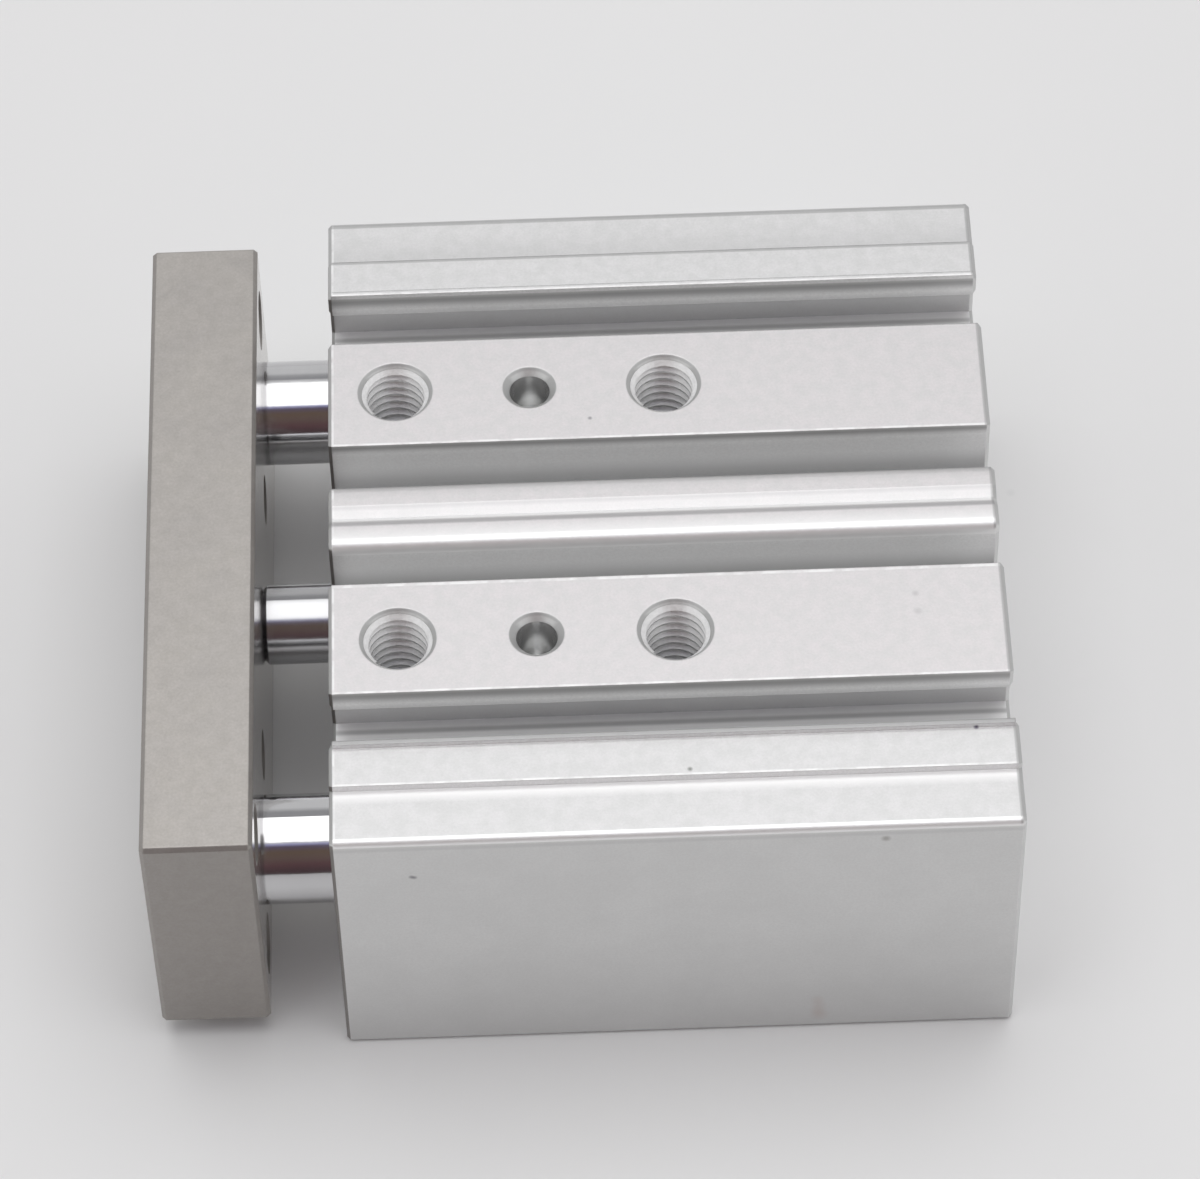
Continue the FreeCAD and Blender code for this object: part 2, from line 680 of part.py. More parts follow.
def make_guide_rod(name, y):
    """Guide rod seated in the plate, flush with the body's rear face when drawn in."""
    radius = size.guide_rod / 2
    chamfer = size.guide_rod_chamfer
    start = -(size.plate_gap + size.guide_seat_depth)
    length = BODY_LENGTH - start
    hole = size.guide_bolt / 2
    web = size.plate_thickness - size.guide_bolt - size.bolt_sink - size.guide_seat_depth
    hole_end = size.guide_bolt_length - web + size.drill_room
    turn(new_body(name, start, y), "rod", [
        (0, hole), (0, radius), (length - chamfer, radius), (length, radius - chamfer),
        (length, 0), (hole_end + hole * DRILL_POINT, 0), (hole_end, hole),
    ])


def make_piston():
    """Piston with stepped ends and grooves for the magnet and the piston seal."""
    outer = size.bore / 2 - size.piston_clearance
    end = size.bore / 2 - size.piston_step
    end_length = size.piston_step_length
    groove = PISTON_GROOVE
    length = size.piston_length
    bore = TENON + size.seat_clearance
    cord_seat = bore + TENON_GROOVE_DEPTH
    magnet_end = size.magnet_place + size.magnet_width
    seal_end = size.seal_place + size.seal_width
    turn(new_body("piston", PISTON_START), "piston", [
        (0, cord_seat), (0, end), (end_length, end), (end_length, outer),
        (size.magnet_place, outer), (size.magnet_place, groove), (magnet_end, groove),
        (magnet_end, outer), (size.seal_place, outer), (size.seal_place, groove),
        (seal_end, groove), (seal_end, outer), (length - end_length, outer),
        (length - end_length, end), (length, end), (length, bore),
        (TENON_GROOVE_DEPTH, bore), (TENON_GROOVE_DEPTH, cord_seat),
    ])


def make_piston_rings():
    """Magnet, piston seal and the gasket between the rod's shoulder and the piston."""
    groove = PISTON_GROOVE + size.seat_clearance
    magnet = size.bore / 2 - size.magnet_room
    width = size.magnet_width - size.seat_clearance
    turn(new_body("piston_magnet", PISTON_START + size.magnet_place), "magnet",
         [(0, groove), (0, magnet), (width, magnet), (width, groove)])
    lip = size.bore / 2 - size.running_clearance
    width = size.seal_width - size.seat_clearance
    notch = lip - (lip - groove) * LIP_SHARE
    turn(new_body("piston_seal", PISTON_START + size.seal_place), "seal", [
        (0, groove), (0, lip), (width / 4, notch), (width * 3 / 4, notch), (width, lip),
        (width, groove),
    ])
    inner = TENON + size.seat_clearance
    turned_cord(new_body("piston_gasket", PISTON_START), "cord", size.seat_clearance,
                size.tenon_gasket_section, inner, inner + size.tenon_gasket_section)


# ---------------------------------------------------------------- front plate and bolts

def bolt_cut(bolt, head, seat_radius, seat_depth):
    """Corners of a counterbored hole through the plate, with a rod seat in its rear face."""
    head_radius = head / 2 + size.head_room
    shank = bolt / 2 + size.shank_room
    floor = bolt + size.bolt_sink
    back = size.plate_thickness
    corners = [(0, 0), (0, head_radius), (floor, head_radius), (floor, shank)]
    if seat_depth is None:
        return corners + [(back, shank), (back, 0)]
    seat_floor = back - seat_depth
    return corners + [(seat_floor, shank), (seat_floor, seat_radius), (back, seat_radius),
                      (back, 0)]


def through_cut(radius, chamfer):
    back = size.plate_thickness
    return [(0, 0), (0, radius + chamfer), (chamfer, radius), (back - chamfer, radius),
            (back, radius + chamfer), (back, 0)]


def make_front_plate():
    body = new_body("front_plate", PLATE_FRONT)
    half_width = size.plate_width / 2
    half_height = size.plate_height / 2
    sketch = new_sketch(body, "plate_outline", "YZ_Plane")
    draw_outline(sketch, [(-half_width, -half_height), (half_width, -half_height),
                          (half_width, half_height), (-half_width, half_height)])
    block = pad(body, sketch, size.plate_thickness, "block")
    doc.recompute()
    dress(body, "PartDesign::Chamfer", "Size", block, edge_names(block.Shape, lambda edge: True),
          size.plate_chamfer, "edge_break")
    turn(body, "rod_bolt_hole", bolt_cut(size.rod_bolt, size.rod_bolt_head, None, None), cut=True)
    seat = size.guide_rod / 2 + size.seat_clearance
    guide_hole = bolt_cut(size.guide_bolt, size.guide_bolt_head, seat, size.guide_seat_depth)
    pin_hole = through_cut(size.plate_pin_hole / 2, size.thread_chamfer)
    tapped = through_cut(size.plate_thread / 2, size.thread_chamfer)
    for side, y in enumerate(both(size.guide_pitch)):
        turn(body, "guide_bolt_hole_%d" % side, guide_hole, y=y, cut=True)
    for side, y in enumerate(both(size.plate_pin_pitch)):
        turn(body, "pin_hole_%d" % side, pin_hole, y=y, cut=True)
    for side, y in enumerate(both(size.plate_pitch_y)):
        for row, z in enumerate(both(size.plate_pitch_z)):
            turn(body, "tapped_hole_%d%d" % (side, row), tapped, y=y, z=z, cut=True)


def make_bolt(name, y, bolt, head, length, key):
    """Socket head bolt with its head towards the front; a head is as high as its thread is wide."""
    head_radius = head / 2
    shank = bolt / 2 - size.seat_clearance
    chamfer = size.bolt_chamfer
    end = bolt + length
    body = new_body(name, PLATE_FRONT + size.bolt_sink, y)
    turn(body, "bolt", [
        (0, 0), (0, head_radius - chamfer), (chamfer, head_radius), (bolt, head_radius),
        (bolt, shank), (end, shank), (end, 0),
    ])
    socket = new_sketch(body, "socket_outline", "YZ_Plane")
    draw_hexagon(socket, key / 2)
    cut_along(body, socket, bolt * SOCKET_SHARE, "socket")


def make_moving_parts():
    make_front_plate()
    make_piston_rod()
    make_piston()
    make_piston_rings()
    for side, y in (("left", GUIDE_CENTRE), ("right", -GUIDE_CENTRE)):
        make_guide_rod("guide_rod_%s" % side, y)
        make_bolt("guide_bolt_%s" % side, y, size.guide_bolt, size.guide_bolt_head,
                  size.guide_bolt_length, size.guide_bolt_key)
    make_bolt("rod_bolt", as_size(0), size.rod_bolt, size.rod_bolt_head, size.rod_bolt_length,
              size.rod_bolt_key)


# ---------------------------------------------------------------- check and write

def check_document():
    for item in doc.Objects:
        if "Invalid" in item.State or "Error" in item.State:
            raise RuntimeError("%s did not compute: %s" % (item.Name, item.State))
    for body in bodies:
        shape = body.Shape
        if shape.isNull() or not shape.isValid() or len(shape.Solids) != 1:
            raise RuntimeError("%s is not one valid solid" % body.Label)


def write_parts():
    os.makedirs("parts", exist_ok=True)
    for body in bodies:
        body.Shape.exportStep("parts/%s.step" % body.Label)


make_cylinder_body()
make_covers()
make_bushes()
make_moving_parts()
doc.recompute()
check_document()
write_parts()
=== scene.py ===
import json
import math

import bpy
from mathutils import Matrix, Vector


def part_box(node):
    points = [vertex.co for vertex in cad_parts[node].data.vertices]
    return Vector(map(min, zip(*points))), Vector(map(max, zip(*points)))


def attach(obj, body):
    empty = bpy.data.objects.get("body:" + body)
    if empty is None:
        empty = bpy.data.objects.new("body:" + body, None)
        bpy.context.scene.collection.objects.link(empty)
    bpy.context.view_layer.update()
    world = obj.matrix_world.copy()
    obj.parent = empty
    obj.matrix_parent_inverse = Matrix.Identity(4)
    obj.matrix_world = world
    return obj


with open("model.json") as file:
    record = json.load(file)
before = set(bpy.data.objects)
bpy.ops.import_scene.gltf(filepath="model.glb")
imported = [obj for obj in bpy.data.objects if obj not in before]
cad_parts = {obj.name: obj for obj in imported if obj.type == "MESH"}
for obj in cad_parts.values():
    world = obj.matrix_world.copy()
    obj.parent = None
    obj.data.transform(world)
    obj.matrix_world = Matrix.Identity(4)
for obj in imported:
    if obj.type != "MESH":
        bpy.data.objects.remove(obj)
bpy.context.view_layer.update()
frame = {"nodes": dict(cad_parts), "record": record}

MM = 0.001
MOUNTS = {mount["name"]: mount for mount in frame["record"]["mounts"]}

# Camera: where it stands, in metres, and which ways its view and the picture's right edge lie.
CAMERA_PLACE = (-0.00064, -0.25075, 0.34311)
CAMERA_FORWARD = (0.00641, 0.60835, -0.79364)
CAMERA_RIGHT = (0.9994, -0.03085, -0.01557)
CAMERA_LENS = 165.69            # focal length, mm
CAMERA_SENSOR = 36.0            # width, mm
CAMERA_REACH = (0.01, 20.0)     # nearest and farthest distance that it sees, metres


# ---------------------------------------------------------------- places from the record

def pattern(name):
    """Centres of a mount's holes: its spacings run along the two axes across its own."""
    mount = MOUNTS[name]
    normal = Vector(mount["axis"])
    axes = [axis for axis in range(3) if abs(normal[axis]) < 0.5]
    spots = [Vector(mount["pos_m"])]
    for axis, key in zip(axes, ("spacing_x_mm", "spacing_y_mm")):
        pitch = mount["dims"].get(key)
        if pitch:
            shift = Vector((0.0, 0.0, 0.0))
            shift[axis] = pitch * MM / 2.0
            spots = [spot + shift * sign for spot in spots for sign in (-1, 1)]
    return spots


def hole(name):
    """Radius of a mount's holes, mm."""
    return MOUNTS[name]["dims"]["hole_r_mm"]


body_low, body_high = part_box("cylinder_body")
# The plate's rear face and the middles of the rods, metres.
PLATE_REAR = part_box("front_plate")[1].x
ROD_HEIGHT = sum(corner.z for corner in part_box("piston_rod")) / 2.0
GUIDE_SIDE = sum(corner.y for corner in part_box("guide_rod_left")) / 2.0

# The body's outline in mm: its ends, its near side, the lands' height and, measured from its
# middle plane, the centres and half widths of its slots and the step to the outer strips.
FRONT, REAR = body_low.x / MM, body_high.x / MM
NEAR = body_low.y / MM
LAND = MOUNTS["mounting_land_left"]["pos_m"][2] / MM
T_SLOT = MOUNTS["t_slot_left"]["pos_m"][1] / MM
T_MOUTH = 2.2
T_ROOM = 3.7            # half the width of a T slot below its lips
GROOVE = MOUNTS["sensor_groove_left"]["pos_m"][1] / MM
GROOVE_MOUTH = 1.75
STEP = 24.4
SLOT_DEPTH = 5.7        # from the lands to the floors of the sensor grooves


# ---------------------------------------------------------------- node materials

class Nodes:
    """A node tree: short calls that add a node and return its output."""

    def __init__(self, owner):
        owner.use_nodes = True
        self.tree = owner.node_tree
        self.tree.nodes.clear()
        self.coordinates = self.add("ShaderNodeTexCoord").outputs
        self.place = self.coordinates["Object"]
        self.normal = self.coordinates["Normal"]

    def add(self, kind, **settings):
        """A new node of a kind, with its own settings."""
        node = self.tree.nodes.new(kind)
        for key, value in settings.items():
            setattr(node, key, value)
        return node

    def put(self, socket, value):
        """A link from another node's output, or a plain value, on a socket."""
        if isinstance(value, bpy.types.NodeSocket):
            self.tree.links.new(value, socket)
        elif socket.type == "RGBA":
            socket.default_value = (*value, 1.0)
        else:
            socket.default_value = value

    def math(self, operation, first, second=0.0, third=0.0):
        node = self.add("ShaderNodeMath", operation=operation)
        for socket, value in zip(node.inputs, (first, second, third)):
            self.put(socket, value)
        return node.outputs[0]

    def times(self, first, *others):
        """The product of two or more values."""
        for other in others:
            first = self.math("MULTIPLY", first, other)
        return first

    def largest(self, first, *others):
        """The largest of two or more values."""
        for other in others:
            first = self.math("MAXIMUM", first, other)
        return first

    def vector(self, operation, first, second):
        node = self.add("ShaderNodeVectorMath", operation=operation)
        self.put(node.inputs[0], first)
        self.put(node.inputs[1], second)
        return node.outputs

    def stretch(self, scale, place=None):
        """The place scaled by three factors, one for each axis."""
        return self.vector("MULTIPLY", place or self.place, scale)[0]

    def dot(self, first, second):
        return self.vector("DOT_PRODUCT", first, second)["Value"]

    def axis(self, name, vector=None):
        node = self.add("ShaderNodeSeparateXYZ")
        self.put(node.inputs[0], vector or self.place)
        return node.outputs[name]

    def noise(self, scale, detail, rough, place=None):
        node = self.add("ShaderNodeTexNoise")
        self.put(node.inputs["Vector"], place or self.place)
        node.inputs["Scale"].default_value = scale
        node.inputs["Detail"].default_value = detail
        node.inputs["Roughness"].default_value = rough
        return node.outputs["Fac"]

    def cells(self, scale):
        """Distance to the nearest of many scattered points."""
        node = self.add("ShaderNodeTexVoronoi")
        self.put(node.inputs["Vector"], self.place)
        node.inputs["Scale"].default_value = scale
        return node.outputs["Distance"]

    def span(self, value, low, high, to_low=0.0, to_high=1.0):
        """A value's way from low to high as a number from to_low to to_high."""
        node = self.add("ShaderNodeMapRange", clamp=True)
        for socket, number in zip(node.inputs, (value, low, high, to_low, to_high)):
            self.put(socket, number)
        return node.outputs[0]

    def band(self, value, low, high, soft):
        """1 between two values, falling to 0 over a soft rim."""
        return self.times(self.span(value, low - soft, low + soft),
                          self.span(value, high - soft, high + soft, 1.0, 0.0))

    def ring(self, centre, inner, outer, soft):
        """1 between two radii round an upright line, all in mm but the centre."""
        flat = self.stretch((1.0, 1.0, 0.0))
        radius = self.vector("DISTANCE", flat, (centre[0], centre[1], 0.0))["Value"]
        return self.band(radius, inner * MM, outer * MM, soft * MM)

    def spot(self, point, radius):
        """1 within a radius of a point, both in mm, falling to 0 over a wide rim."""
        centre = [value * MM for value in point]
        distance = self.vector("DISTANCE", self.place, centre)["Value"]
        return self.span(distance, 0.4 * radius * MM, 1.6 * radius * MM, 1.0, 0.0)

    def ramp(self, value, stops):
        """Colours along a value; stops are (position, (r, g, b))."""
        node = self.add("ShaderNodeValToRGB")
        self.put(node.inputs[0], value)
        elements = node.color_ramp.elements
        while len(elements) < len(stops):
            elements.new(0.5)
        for element, (position, colour) in zip(elements, stops):
            element.position = position
            element.color = (*colour, 1.0)
        return node.outputs[0]

    def mix(self, share, first, second):
        """Colours blended by a share."""
        node = self.add("ShaderNodeMix", data_type="RGBA", blend_type="MIX")
        self.put(node.inputs[0], share)
        self.put(node.inputs[6], first)
        self.put(node.inputs[7], second)
        return node.outputs[2]

    def tint(self, base, share, grey):
        """A colour blended towards a grey by a share."""
        return self.mix(share, base, (grey, grey, grey))

    def turned(self):
        """A place for patterns that run round the nearest of the three rods."""
        side = self.math("ABSOLUTE", self.axis("Y"))
        outer = self.math("GREATER_THAN", side, GUIDE_SIDE / 2.0)
        side = self.math("SUBTRACT", side, self.times(outer, GUIDE_SIDE))
        across = self.math("POWER", self.math("ABSOLUTE", side), 2.0)
        up = self.math("SUBTRACT", self.axis("Z"), ROD_HEIGHT)
        node = self.add("ShaderNodeCombineXYZ")
        self.put(node.inputs["X"], self.axis("X"))
        self.put(node.inputs["Y"], self.math("SQRT", self.math("MULTIPLY_ADD", up, up, across)))
        return node.outputs[0]

    def edges(self, radius):
        """A normal that rounds sharp edges, and how far it turns there from 0 to 1."""
        bevel = self.add("ShaderNodeBevel", samples=6)
        bevel.inputs["Radius"].default_value = radius
        flat = self.add("ShaderNodeNewGeometry").outputs["True Normal"]
        turned = self.dot(bevel.outputs[0], flat)
        return bevel.outputs[0], self.span(turned, 0.99, 0.75)

    def upward(self):
        """1 on faces that look up in the object's own frame, 0 on all others."""
        return self.span(self.axis("Z", self.normal), 0.85, 0.97)

    def bump(self, height, distance, strength, normal=None):
        node = self.add("ShaderNodeBump")
        node.inputs["Strength"].default_value = strength
        node.inputs["Distance"].default_value = distance
        self.put(node.inputs["Height"], height)
        if normal is not None:
            self.put(node.inputs["Normal"], normal)
        return node.outputs[0]


class Shade(Nodes):
    """One material with a principled shader."""

    def __init__(self, name):
        self.material = bpy.data.materials.new(name)
        super().__init__(self.material)
        self.shader = self.add("ShaderNodeBsdfPrincipled")
        out = self.add("ShaderNodeOutputMaterial")
        self.put(out.inputs["Surface"], self.shader.outputs[0])

    def set(self, **values):
        """Shader sockets by name, with _ for a space."""
        for name, value in values.items():
            self.put(self.shader.inputs[name.replace("_", " ")], value)


class BodyShade(Shade):
    """The body's material, with places in mm and the ways that its faces look.

    apart is the distance from the middle plane, and depth the distance below the lands. top
    and facing_up are 1 on faces that look up, end on those that look along the body, and
    facing_near on those that look to its near side.
    """

    def __init__(self, name):
        super().__init__(name)
        self.along, self.across, self.height = (
            self.times(self.axis(axis), 1.0 / MM) for axis in "XYZ")
        self.apart = self.math("ABSOLUTE", self.across)
        self.depth = self.math("SUBTRACT", LAND, self.height)
        self.top = self.upward()
        self.end = self.math("ABSOLUTE", self.axis("X", self.normal))
        self.facing_near = self.span(self.axis("Y", self.normal), -0.80, -0.95)
        self.facing_up = self.span(self.axis("Z", self.normal), 0.4, 0.6)


# ---------------------------------------------------------------- the body's material

DUST = (0.10, 0.09, 0.12)
PALE_SPECK = (0.45, 0.43, 0.44)
SMEAR = (0.45, 0.30, 0.26)
# Small marks: place and radius in mm, strength and colour.
BODY_MARKS = [
    ((1.67, 8.36, 26.00), 0.13, 0.55, DUST),
    ((7.78, -23.90, 26.00), 0.15, 0.75, (0.16, 0.17, 0.15)),
    ((-12.15, -29.00, 21.17), 0.16, 0.55, DUST),
    ((-11.95, -29.00, 21.10), 0.16, 0.55, DUST),
    ((21.36, -29.00, 23.94), 0.26, 0.50, (0.22, 0.20, 0.18)),
    ((28.20, -21.10, 26.05), 0.15, 0.80, (0.06, 0.04, 0.12)),
    ((24.68, -9.00, 26.00), 0.20, 0.45, PALE_SPECK),
    ((24.74, -10.60, 26.00), 0.24, 0.35, PALE_SPECK),
    ((19.77, -15.00, 20.40), 0.15, 0.55, DUST),
    ((16.85, -29.00, 3.60), 0.40, 0.14, SMEAR),
    ((16.95, -29.00, 2.90), 0.42, 0.14, SMEAR),
    ((16.90, -29.00, 2.20), 0.45, 0.16, SMEAR),
    ((17.00, -29.00, 1.60), 0.50, 0.18, SMEAR),
]

# Painted light and shade on the slots' near-facing walls, as greys by depth below the lands, mm:
# a painted dark line under the edge, then a painted highlight, then painted shade deepening
# with depth.
GROOVE_GREYS = [(0.0, 0.74), (0.12, 0.58), (0.32, 0.44), (0.52, 0.60), (0.72, 0.80),
                (1.0, 0.92), (1.4, 0.86), (2.7, 0.78), (3.4, 0.65), (4.1, 0.50), (4.7, 0.42)]
T_SLOT_GREYS = [(0.0, 0.74), (0.12, 0.60), (0.35, 0.46), (0.60, 0.54), (0.83, 0.72),
                (1.07, 0.88), (1.3, 0.96), (1.55, 0.88), (1.84, 0.76), (1.88, 0.68),
                (5.6, 0.66)]

# Greys that the body's colour is blended towards, for painted light and shade.
BRIGHT = 0.98       # painted highlight on the ridge's near half, the near strip and the near corner
HIGHLIGHT_GREY = 0.97       # painted highlight on edges, shoulders and the near step
DARKER = 0.40       # painted shade on the ridge's far half, the far strip and below the near top edge
SHADE_GREY = 0.33       # painted shade on far edges and the rims of the holes

LEAN = (-0.6, -0.8, 0.0)                # edges that lean this way get a painted highlight, the opposite ones painted shade
SLOT_CORNER = (-0.7071, -0.7071, 0.0)   # the way that the near chamfer of a slot's end looks, where shade is painted

# Bands across the body, mm: edges with a painted highlight, and painted dark lines on its far
# side.
HIGHLIGHT_Y = [(edge, edge + 0.20) for edge in (T_SLOT + T_MOUTH, GROOVE + GROOVE_MOUTH,
                                             T_MOUTH - T_SLOT, -STEP)]
HIGHLIGHT_Y.append((-GROOVE - GROOVE_MOUTH - 0.30, -GROOVE - GROOVE_MOUTH))
DARK_LINE_Y = [(24.15, 24.70), (28.30, 28.70)]


def wall_greys(s, greys):
    """Painted light and shade of a slot's wall as greys; depths become shares of the grooves'
    depth.
    """
    stops = [(depth / SLOT_DEPTH, (grey, grey, grey)) for depth, grey in greys]
    return s.ramp(s.math("DIVIDE", s.depth, SLOT_DEPTH), stops)


def body_sides(s):
    """Blasted sides with painted shade, the slots' and steps' walls with painted light and shade,
    and the milled ends.
    """
    cloud = s.noise(260.0, 3.0, 0.6)
    side = s.ramp(cloud, [(0.35, (0.712, 0.717, 0.712)), (0.65, (0.742, 0.747, 0.742))])
    # painted shade low down, and a painted dark line just below the near top edge
    side = s.tint(side, s.span(s.height, 1.0, 13.0, 0.32, 0.0), 0.45)
    outside = s.span(s.across, NEAR + 0.2, NEAR + 0.1)
    side = s.tint(side, s.times(outside, s.band(s.depth, 1.25, 1.60, 0.10), 0.22), DARKER)

    # painted light and shade on the near-facing walls of the grooves and T slots
    grooves = s.span(s.apart, GROOVE + 2.3, GROOVE + 2.4, 1.0, 0.0)
    t_slots = s.band(s.apart, T_SLOT - T_ROOM - 0.1, T_SLOT + T_ROOM + 0.15, 0.05)
    outer = s.span(s.apart, 10.0, 10.1)
    shades = s.mix(outer, wall_greys(s, GROOVE_GREYS), wall_greys(s, T_SLOT_GREYS))
    side = s.mix(s.times(s.largest(grooves, t_slots), s.facing_near), side, shades)
    # painted highlight on the near step and on the shoulders above the lands
    step = s.band(s.across, -STEP - 0.1, -STEP + 0.1, 0.05)
    shoulder = s.span(s.depth, -0.02, -0.04)
    side = s.tint(side, s.times(s.largest(shoulder, step), s.facing_near), HIGHLIGHT_GREY)

    milled = s.noise(1.0, 2.0, 0.6, s.stretch((300.0, 300.0, 5000.0)))
    milled = s.ramp(milled, [(0.35, (0.85, 0.85, 0.85)), (0.65, (0.92, 0.92, 0.92))])
    return s.mix(s.span(s.end, 0.9, 0.98), side, milled)


def body_tops(s):
    """Lands that are faintly rosy in the middle and plain further out."""
    patches = s.noise(1000.0, 2.0, 0.5)
    plain = s.ramp(patches, [(0.36, (0.735, 0.737, 0.735)), (0.64, (0.785, 0.782, 0.785))])
    rosy = s.ramp(patches, [(0.36, (0.724, 0.712, 0.715)), (0.64, (0.763, 0.738, 0.746))])
    return s.mix(s.span(s.apart, 16.0, 18.0, 1.0, 0.0), plain, rosy)


def ridge_tones(s, base):
    """Painted light and shade on the ridge between the sensor grooves: shade on its far half and
    in its crease, highlights growing towards its near edge.
    """
    ridge = s.times(s.span(s.apart, 3.0, 3.1, 1.0, 0.0), s.span(s.depth, 1.0, 1.1, 1.0, 0.0),
                    s.span(s.end, 0.5, 0.8, 1.0, 0.0))
    base = s.tint(base, s.times(ridge, s.span(s.across, 1.5, 2.7, 0.0, 0.45)), DARKER)
    groove = s.largest(s.times(s.band(s.across, 0.62, 0.90, 0.12), 0.30),
                       s.times(s.band(s.across, -1.00, -0.50, 0.08), 0.60))
    base = s.mix(s.times(ridge, groove), base, (0.40, 0.39, 0.40))
    base = s.tint(base, s.times(ridge, s.band(s.across, -0.36, 0.0, 0.05)), BRIGHT)
    return s.tint(base, s.times(ridge, s.span(s.across, -1.05, -2.6, 0.0, 0.95)), BRIGHT)


def strip_tones(s, base):
    """Painted highlights on the near strip beside its step and on the near corner, painted shade
    on the far strip.
    """
    near = s.times(s.span(s.across, -25.6, -24.9, 0.0, 0.85), s.span(s.depth, 0.50, 0.55),
                   s.math("LESS_THAN", s.across, -STEP))
    base = s.tint(base, s.times(near, s.top), BRIGHT)
    far = s.times(s.span(s.across, 24.5, 27.5, 0.30, 0.0),
                  s.math("GREATER_THAN", s.across, STEP))
    base = s.tint(base, s.times(far, s.top), DARKER)
    corner = s.times(s.span(s.across, NEAR + 0.55, NEAR + 0.45), s.span(s.depth, 1.10, 1.0),
                     s.span(s.end, 0.5, 0.8, 0.95, 0.0))
    return s.tint(base, corner, BRIGHT)


def edge_tones(s, base, rounded, edge):
    """Painted highlights on edges that lean near, broken by gaps, and painted shade on far edges,
    far-side lines, hole rims, the ends' chamfers and the near bead.
    """
    lean = s.dot(rounded, LEAN)
    beads = s.times(s.span(s.depth, -0.05, -0.10), s.span(s.apart, 20.5, 20.6))
    painted_bright = s.times(edge, s.span(lean, 0.1, 0.3), s.span(beads, 0.0, 1.0, 1.0, 0.1))
    # painted highlights along the slots' near rims, the step and the front end
    rims = [s.band(s.across, low, high, 0.04) for low, high in HIGHLIGHT_Y]
    rims.append(s.band(s.along, FRONT + 0.25, FRONT + 0.42, 0.04))
    painted_bright = s.largest(painted_bright, s.times(s.largest(*rims), s.top, 0.8))
    gaps = s.span(s.noise(700.0, 2.0, 0.6), 0.40, 0.55, 0.25, 0.85)
    base = s.tint(base, s.times(painted_bright, gaps), HIGHLIGHT_GREY)

    # painted shade: dark lines on the far side and by the rear end, the holes' rims, the ends'
    # chamfers and the near bead
    dark_lines = [s.band(s.across, low, high, 0.05) for low, high in DARK_LINE_Y]
    dark_lines.append(s.band(s.along, REAR - 0.42, REAR - 0.2, 0.05))
    dark_lines = s.times(s.largest(*dark_lines), s.facing_up, s.span(s.depth, 1.2, 1.0))
    tapped, dowel = hole("tapped_mounting_holes"), hole("dowel_holes")
    rims = [s.ring(spot, tapped + 0.12, tapped + 0.29, 0.04)
            for spot in pattern("tapped_mounting_holes")]
    rims += [s.ring(spot, dowel + 0.30, dowel + 0.48, 0.05) for spot in pattern("dowel_holes")]
    rims = s.times(s.largest(*rims), s.span(s.depth, 0.5, 0.3))
    ends = s.times(s.band(s.end, 0.55, 0.85, 0.05), s.facing_up)
    near_bead = s.times(beads, s.math("LESS_THAN", s.across, 0.0), s.top)
    painted_dark = s.largest(s.times(edge, s.span(lean, -0.1, -0.3)), s.times(dark_lines, 0.75),
                     s.times(rims, 0.5), s.times(ends, 0.6), s.times(near_bead, 0.9))
    return s.tint(base, s.times(painted_dark, 0.75), SHADE_GREY)


def slot_end_shade_and_marks(s, base):
    """Painted shade in the chamfers of the slots' front ends, and the small marks."""
    # painted shade in the near chamfers at the slots' front ends
    corner_shade = s.times(s.span(s.dot(s.normal, SLOT_CORNER), 0.90, 0.97),
                    s.span(s.along, FRONT + 0.5, FRONT + 0.4))
    base = s.mix(s.times(corner_shade, 0.75), base, (0.13, 0.11, 0.10))
    for point, radius, strength, colour in BODY_MARKS:
        base = s.mix(s.times(s.spot(point, radius), strength), base, colour)
    return base


def anodised_body():
    """Fine bead-blasted, clear anodised aluminium with milled ends, and painted light and shade.
    """
    s = BodyShade("anodised_body")
    rounded, edge = s.edges(0.16 * MM)
    grain = s.noise(5200.0, 3.0, 0.65)
    base = s.mix(s.top, body_sides(s), body_tops(s))
    base = s.mix(s.span(grain, 0.30, 0.70, 0.24, 0.0), base, (0.50, 0.49, 0.49))
    base = strip_tones(s, ridge_tones(s, base))
    base = slot_end_shade_and_marks(s, edge_tones(s, base, rounded, edge))

    # painted light on the slots' floors, with a painted dark line near the T slots' far walls
    floors = s.times(s.top, s.span(s.depth, 5.0, 5.2))
    lines = [s.band(s.across, wall - 1.05, wall - 0.65, 0.12)
             for wall in (T_SLOT + T_ROOM, T_ROOM - T_SLOT)]
    base = s.tint(base, floors, 0.93)
    base = s.tint(base, s.times(floors, s.largest(*lines)), 0.60)
    s.set(Base_Color=base, Metallic=s.span(floors, 0.0, 1.0, 0.7, 0.40))

    # reamed and so smoother walls of the dowel holes, below their chamfers
    wall = hole("dowel_holes") + 0.03
    reamed = s.largest(*[s.ring(spot, -wall, wall, 0.02) for spot in pattern("dowel_holes")])
    reamed = s.times(reamed, s.span(s.depth, 0.50, 0.52))
    rough = s.span(grain, 0.3, 0.7, 0.40, 0.50)
    s.set(Roughness=s.times(rough, s.span(reamed, 0.0, 1.0, 1.0, 0.35)))
    s.set(Normal=s.bump(grain, 0.014 * MM, 0.5, rounded))
    return s.material


# ---------------------------------------------------------------- other materials

def cut_metal(name, light, dark):
    """Bright metal cut by a tap, with fine lines round the hole."""
    s = Shade(name)
    lines = s.noise(1.0, 2.0, 0.6, s.stretch((2500.0, 2500.0, 7000.0)))
    s.set(Base_Color=s.ramp(lines, [(0.35, dark), (0.65, light)]), Metallic=0.45)
    s.set(Roughness=s.span(lines, 0.3, 0.7, 0.32, 0.42))
    s.set(Normal=s.bump(lines, 0.004 * MM, 0.4))
    return s.material


